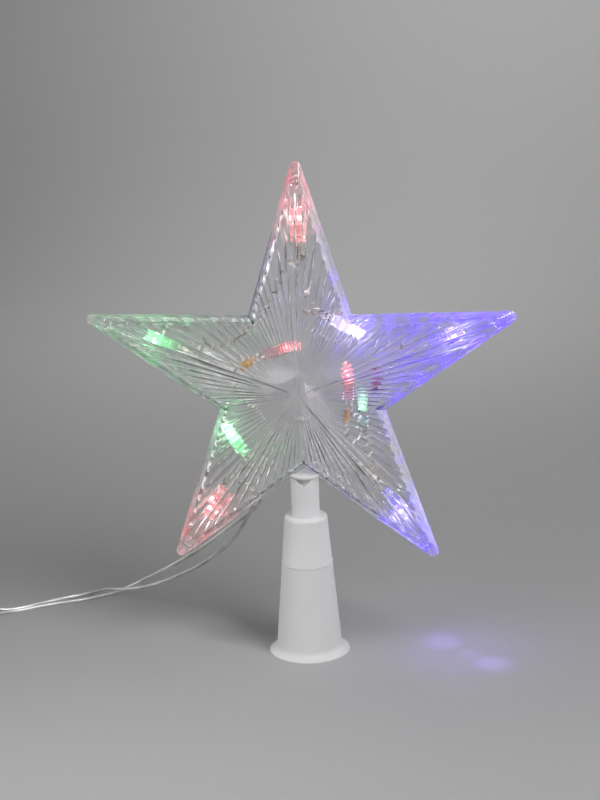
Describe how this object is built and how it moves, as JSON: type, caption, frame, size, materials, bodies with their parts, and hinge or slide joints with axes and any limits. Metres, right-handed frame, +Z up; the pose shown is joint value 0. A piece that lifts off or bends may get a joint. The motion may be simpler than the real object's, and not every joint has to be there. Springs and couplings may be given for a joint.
{
  "type": "light-up star tree topper",
  "caption": "Clear five-pointed star of two moulded shells with small colour lamps inside, on a hollow milky tree cone, with a twin clear mains lead and plug.",
  "frame": {"origin": "on the floor at the axis of the tree cone", "axes": "+Z up along the cone's axis, star facing -Y, +X to the right of a viewer who faces the star"},
  "size_m": [0.3837, 0.0971, 0.2495],
  "materials": {
    "clear_shell": "clear polished polystyrene",
    "milky_plastic": "milky translucent polypropylene, matte",
    "lamp_red": "clear epoxy lamp, lit red",
    "lamp_green": "clear epoxy lamp, lit green",
    "lamp_blue": "clear epoxy lamp, lit blue",
    "lamp_holder": "clear moulded lamp holder",
    "clear_wire": "clear insulation over tinned strands",
    "amber_sleeve": "amber shrink sleeve",
    "plug_plastic": "smooth moulded plastic",
    "plated_metal": "nickel-plated pins"
  },
  "bodies": {
    "cone": {"tree_cone": "milky_plastic"},
    "star": {"front_shell": "clear_shell", "rear_shell": "clear_shell", "bulb_tip_top": "lamp_red", "bulb_tip_left": "lamp_green", "bulb_tip_lower_left": "lamp_red", "bulb_tip_lower_right": "lamp_blue", "bulb_tip_right": "lamp_blue", "bulb_notch_left": "lamp_green", "bulb_notch_right": "lamp_blue", "bulb_hub_upper": "lamp_red", "bulb_hub_side": "lamp_red", "bulb_hub_lower": "lamp_green", "holder_tip_top": "lamp_holder", "holder_tip_left": "lamp_holder", "holder_tip_lower_left": "lamp_holder", "holder_tip_lower_right": "lamp_holder", "holder_tip_right": "lamp_holder", "holder_notch_left": "lamp_holder", "holder_notch_right": "lamp_holder", "holder_hub_upper": "lamp_holder", "holder_hub_side": "lamp_holder", "holder_hub_lower": "lamp_holder", "wire_lead_in": "clear_wire", "wire_01": "clear_wire", "wire_02": "clear_wire", "wire_03": "clear_wire", "wire_04": "clear_wire", "wire_05": "clear_wire", "wire_06": "clear_wire", "wire_07": "clear_wire", "wire_08": "clear_wire", "wire_09": "clear_wire", "wire_lead_out": "clear_wire", "resistor_sleeve_left": "amber_sleeve", "resistor_sleeve_side": "amber_sleeve", "resistor_sleeve_right": "amber_sleeve", "lead_wire_a": "clear_wire", "lead_wire_b": "clear_wire", "lead_coil_a": "clear_wire", "lead_coil_b": "clear_wire", "lead_tail_a": "clear_wire", "lead_tail_b": "clear_wire", "plug_body": "plug_plastic", "plug_pins": "plated_metal"}
  },
  "joints": [
    {"name": "star_swivel", "type": "hinge", "parent": "cone", "child": "star", "pos_m": [0, 0, 0.09], "axis": [0, 0, 1], "range_deg": [-180, 180]}
  ]
}
